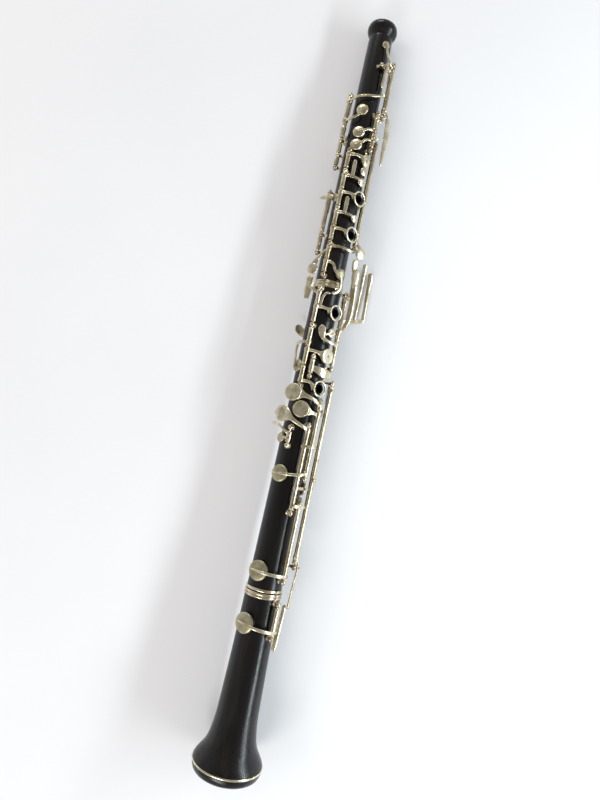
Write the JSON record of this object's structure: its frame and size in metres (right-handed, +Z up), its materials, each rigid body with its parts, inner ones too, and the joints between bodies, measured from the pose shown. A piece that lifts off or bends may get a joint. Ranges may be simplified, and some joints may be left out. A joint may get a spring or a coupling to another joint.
{
  "type": "oboe",
  "caption": "Wooden oboe with full silver keywork: three jointed sections, finger rings, pad keys, levers and posts on sprung hinges, shown lying on its side.",
  "frame": {"origin": "middle of the bottom of the bounding box, on the surface that the oboe lies on", "axes": "+Y toward the crown (reed end) along the instrument, +Z up, +X toward the little-finger levers"},
  "size_m": [0.0608, 0.5906, 0.0524],
  "materials": {
    "wood": "oiled and polished black grenadilla",
    "silver": "polished nickel silver keywork, slightly tarnished",
    "steel": "polished posts and pivot rods",
    "cork": "greased tenon cork"
  },
  "bodies": {
    "body": {"upper_joint": "wood", "lower_joint": "wood", "bell": "wood", "reed_well_liner": "silver", "upper_tenon_cork": "cork", "lower_tenon_cork": "cork", "upper_joint_ferrule": "silver", "lower_socket_ferrule": "silver", "lower_joint_ferrule": "silver", "bell_socket_ferrule": "silver", "bell_rim_ring": "silver", "thumb_rest": "silver", "side_octave_rod": "steel", "thumb_octave_rod": "steel", "trill_rod": "steel", "upper_main_rod": "steel", "g_sharp_rod": "steel", "left_trill_rod": "steel", "lower_main_rod": "steel", "f_key_rod": "steel", "side_f_rod": "steel", "left_lever_rod": "steel", "link_rod": "steel", "low_c_rod": "steel", "c_sharp_rod": "steel", "low_b_rod": "steel", "low_b_flat_rod": "steel", "octave_link_posts": "steel"},
    "octave_link_lever": {"octave_link_lever": "silver"},
    "side_octave_key": {"side_octave_key": "silver"},
    "thumb_octave_key": {"thumb_octave_key": "silver"},
    "upper_trill_key": {"upper_trill_key": "silver"},
    "lower_trill_key": {"lower_trill_key": "silver"},
    "half_hole_key": {"half_hole_key": "silver"},
    "c_vent_key": {"c_vent_key": "silver"},
    "second_finger_upper_key": {"second_finger_upper_key": "silver"},
    "a_vent_key": {"a_vent_key": "silver"},
    "third_finger_upper_key": {"third_finger_upper_key": "silver"},
    "b_flat_trill_key": {"b_flat_trill_key": "silver"},
    "bridge_key": {"bridge_key": "silver"},
    "g_sharp_key": {"g_sharp_key": "silver"},
    "left_trill_key": {"left_trill_key": "silver"},
    "leaf_touch_key": {"leaf_touch_key": "silver"},
    "first_finger_lower_key": {"first_finger_lower_key": "silver"},
    "f_resonance_key": {"f_resonance_key": "silver"},
    "second_finger_lower_key": {"second_finger_lower_key": "silver"},
    "third_finger_lower_key": {"third_finger_lower_key": "silver"},
    "f_key": {"f_key": "silver"},
    "trill_leaf_key": {"trill_leaf_key": "silver"},
    "left_e_flat_lever": {"left_e_flat_lever": "silver"},
    "low_b_lever": {"low_b_lever": "silver"},
    "low_b_flat_lever": {"low_b_flat_lever": "silver"},
    "e_flat_key": {"e_flat_key": "silver"},
    "low_c_key": {"low_c_key": "silver"},
    "c_sharp_key": {"c_sharp_key": "silver"},
    "side_f_key": {"side_f_key": "silver"},
    "low_b_key": {"low_b_key": "silver"},
    "low_b_flat_key": {"low_b_flat_key": "silver"},
    "low_b_flat_link": {"low_b_flat_link": "silver"}
  },
  "joints": [
    {"name": "octave_link_lever_hinge", "type": "hinge", "parent": "body", "child": "octave_link_lever", "pos_m": [0.00392, 0.25432, 0.02261], "axis": [0.766, -0.0158, -0.6426], "range_deg": [0, 4], "stiffness_Nm_per_rad": 0.06},
    {"name": "side_octave_key_hinge", "type": "hinge", "parent": "body", "child": "side_octave_key", "pos_m": [0.01002, 0.22514, 0.01823], "axis": [0, 0.9997, -0.0246], "range_deg": [0, 6], "stiffness_Nm_per_rad": 0.06},
    {"name": "thumb_octave_key_hinge", "type": "hinge", "parent": "body", "child": "thumb_octave_key", "pos_m": [-0.01854, 0.21324, 0.01772], "axis": [0, 0.9997, -0.0246], "range_deg": [-6, 0], "stiffness_Nm_per_rad": 0.06},
    {"name": "upper_trill_key_hinge", "type": "hinge", "parent": "body", "child": "upper_trill_key", "pos_m": [0.00565, 0.20229, 0.02406], "axis": [0, 0.9997, -0.0246], "range_deg": [0, 6], "stiffness_Nm_per_rad": 0.06},
    {"name": "lower_trill_key_hinge", "type": "hinge", "parent": "body", "child": "lower_trill_key", "pos_m": [0.00565, 0.1899, 0.02436], "axis": [0, 0.9997, -0.0246], "range_deg": [0, 6], "stiffness_Nm_per_rad": 0.06},
    {"name": "half_hole_key_hinge", "type": "hinge", "parent": "body", "child": "half_hole_key", "pos_m": [-0.01006, 0.17077, 0.028], "axis": [0, 0.9997, -0.0246], "range_deg": [0, 4], "stiffness_Nm_per_rad": 0.06},
    {"name": "c_vent_key_hinge", "type": "hinge", "parent": "body", "child": "c_vent_key", "pos_m": [-0.01006, 0.16013, 0.02826], "axis": [0, 0.9997, -0.0246], "range_deg": [0, 3.5], "stiffness_Nm_per_rad": 0.06},
    {"name": "second_finger_upper_key_hinge", "type": "hinge", "parent": "body", "child": "second_finger_upper_key", "pos_m": [-0.01006, 0.14214, 0.0287], "axis": [0, 0.9997, -0.0246], "range_deg": [0, 3.5], "stiffness_Nm_per_rad": 0.06},
    {"name": "a_vent_key_hinge", "type": "hinge", "parent": "body", "child": "a_vent_key", "pos_m": [-0.01006, 0.13054, 0.02899], "axis": [0, 0.9997, -0.0246], "range_deg": [0, 3.5], "stiffness_Nm_per_rad": 0.06},
    {"name": "third_finger_upper_key_hinge", "type": "hinge", "parent": "body", "child": "third_finger_upper_key", "pos_m": [-0.01006, 0.11379, 0.0294], "axis": [0, 0.9997, -0.0246], "range_deg": [0, 3.5], "stiffness_Nm_per_rad": 0.06},
    {"name": "b_flat_trill_key_hinge", "type": "hinge", "parent": "body", "child": "b_flat_trill_key", "pos_m": [-0.01006, 0.09019, 0.02998], "axis": [0, 0.9997, -0.0246], "range_deg": [-4, 0], "stiffness_Nm_per_rad": 0.06},
    {"name": "bridge_key_hinge", "type": "hinge", "parent": "body", "child": "bridge_key", "pos_m": [-0.01006, 0.07767, 0.03029], "axis": [0, 0.9997, -0.0246], "range_deg": [0, 4], "stiffness_Nm_per_rad": 0.06},
    {"name": "g_sharp_key_hinge", "type": "hinge", "parent": "body", "child": "g_sharp_key", "pos_m": [0.00934, 0.14441, 0.01798], "axis": [0, 0.9997, -0.0246], "range_deg": [-6, 0], "stiffness_Nm_per_rad": 0.06},
    {"name": "left_trill_key_hinge", "type": "hinge", "parent": "body", "child": "left_trill_key", "pos_m": [-0.01832, 0.12947, 0.02221], "axis": [0, 0.9997, -0.0246], "range_deg": [-6, 0], "stiffness_Nm_per_rad": 0.06},
    {"name": "leaf_touch_key_hinge", "type": "hinge", "parent": "body", "child": "leaf_touch_key", "pos_m": [-0.01011, 0.06613, 0.03132], "axis": [0, 0.9997, -0.0246], "range_deg": [-4, 0], "stiffness_Nm_per_rad": 0.06},
    {"name": "first_finger_lower_key_hinge", "type": "hinge", "parent": "body", "child": "first_finger_lower_key", "pos_m": [-0.01011, 0.05355, 0.03163], "axis": [0, 0.9997, -0.0246], "range_deg": [0, 4], "stiffness_Nm_per_rad": 0.06},
    {"name": "f_resonance_key_hinge", "type": "hinge", "parent": "body", "child": "f_resonance_key", "pos_m": [-0.01011, 0.01919, 0.03247], "axis": [0, 0.9997, -0.0246], "range_deg": [0, 6], "stiffness_Nm_per_rad": 0.06},
    {"name": "second_finger_lower_key_hinge", "type": "hinge", "parent": "body", "child": "second_finger_lower_key", "pos_m": [-0.01011, 0.01569, 0.03256], "axis": [0, 0.9997, -0.0246], "range_deg": [0, 4], "stiffness_Nm_per_rad": 0.06},
    {"name": "third_finger_lower_key_hinge", "type": "hinge", "parent": "body", "child": "third_finger_lower_key", "pos_m": [-0.01011, -0.00355, 0.03303], "axis": [0, 0.9997, -0.0246], "range_deg": [0, 4], "stiffness_Nm_per_rad": 0.06},
    {"name": "f_key_hinge", "type": "hinge", "parent": "body", "child": "f_key", "pos_m": [-0.00425, 0.00677, 0.03377], "axis": [0, 0.9997, -0.0246], "range_deg": [0, 5], "stiffness_Nm_per_rad": 0.06},
    {"name": "trill_leaf_key_hinge", "type": "hinge", "parent": "body", "child": "trill_leaf_key", "pos_m": [0.01082, 0.0259, 0.02253], "axis": [0, 0.9997, -0.0246], "range_deg": [-3.5, 0], "stiffness_Nm_per_rad": 0.06},
    {"name": "left_e_flat_lever_hinge", "type": "hinge", "parent": "body", "child": "left_e_flat_lever", "pos_m": [0.01082, 0.07597, 0.0213], "axis": [0, 0.9997, -0.0246], "range_deg": [-5, 0], "stiffness_Nm_per_rad": 0.06},
    {"name": "low_b_lever_hinge", "type": "hinge", "parent": "body", "child": "low_b_lever", "pos_m": [0.01082, 0.06926, 0.02147], "axis": [0, 0.9997, -0.0246], "range_deg": [0, 3], "stiffness_Nm_per_rad": 0.06},
    {"name": "low_b_flat_lever_hinge", "type": "hinge", "parent": "body", "child": "low_b_flat_lever", "pos_m": [0.01082, 0.05974, 0.0217], "axis": [0, 0.9997, -0.0246], "range_deg": [-4, 0], "stiffness_Nm_per_rad": 0.06},
    {"name": "e_flat_key_hinge", "type": "hinge", "parent": "body", "child": "e_flat_key", "pos_m": [0.00804, -0.01994, 0.03108], "axis": [0, 0.9997, -0.0246], "range_deg": [-3.5, 0], "stiffness_Nm_per_rad": 0.06},
    {"name": "low_c_key_hinge", "type": "hinge", "parent": "body", "child": "low_c_key", "pos_m": [0.00804, -0.05063, 0.03184], "axis": [0, 0.9997, -0.0246], "range_deg": [-4, 0], "stiffness_Nm_per_rad": 0.06},
    {"name": "c_sharp_key_hinge", "type": "hinge", "parent": "body", "child": "c_sharp_key", "pos_m": [0.00302, -0.06226, 0.03492], "axis": [0, 0.9997, -0.0246], "range_deg": [-4, 0], "stiffness_Nm_per_rad": 0.06},
    {"name": "side_f_key_hinge", "type": "hinge", "parent": "body", "child": "side_f_key", "pos_m": [-0.00994, -0.04543, 0.03434], "axis": [0, 0.9997, -0.0246], "range_deg": [-4, 0], "stiffness_Nm_per_rad": 0.06},
    {"name": "low_b_key_hinge", "type": "hinge", "parent": "body", "child": "low_b_key", "pos_m": [0.00819, -0.12452, 0.03379], "axis": [0, 0.9997, -0.0246], "range_deg": [-4, 0], "stiffness_Nm_per_rad": 0.06},
    {"name": "low_b_flat_key_hinge", "type": "hinge", "parent": "body", "child": "low_b_flat_key", "pos_m": [0.00804, -0.18557, 0.03616], "axis": [0, 0.9997, -0.0246], "range_deg": [-4, 0], "stiffness_Nm_per_rad": 0.06},
    {"name": "low_b_flat_link_hinge", "type": "hinge", "parent": "body", "child": "low_b_flat_link", "pos_m": [0.01401, -0.08741, 0.02721], "axis": [0, 0.9997, -0.0246], "range_deg": [-4, 0], "stiffness_Nm_per_rad": 0.06}
  ],
  "couplings": [
    {"joint": "c_vent_key_hinge", "follows": "second_finger_upper_key_hinge", "ratio": 1},
    {"joint": "a_vent_key_hinge", "follows": "third_finger_upper_key_hinge", "ratio": 1},
    {"joint": "bridge_key_hinge", "follows": "first_finger_lower_key_hinge", "ratio": 1},
    {"joint": "low_b_flat_link_hinge", "follows": "low_b_flat_lever_hinge", "ratio": 1},
    {"joint": "low_b_flat_key_hinge", "follows": "low_b_flat_lever_hinge", "ratio": 1},
    {"joint": "low_b_key_hinge", "follows": "low_b_lever_hinge", "ratio": -1.3333}
  ]
}
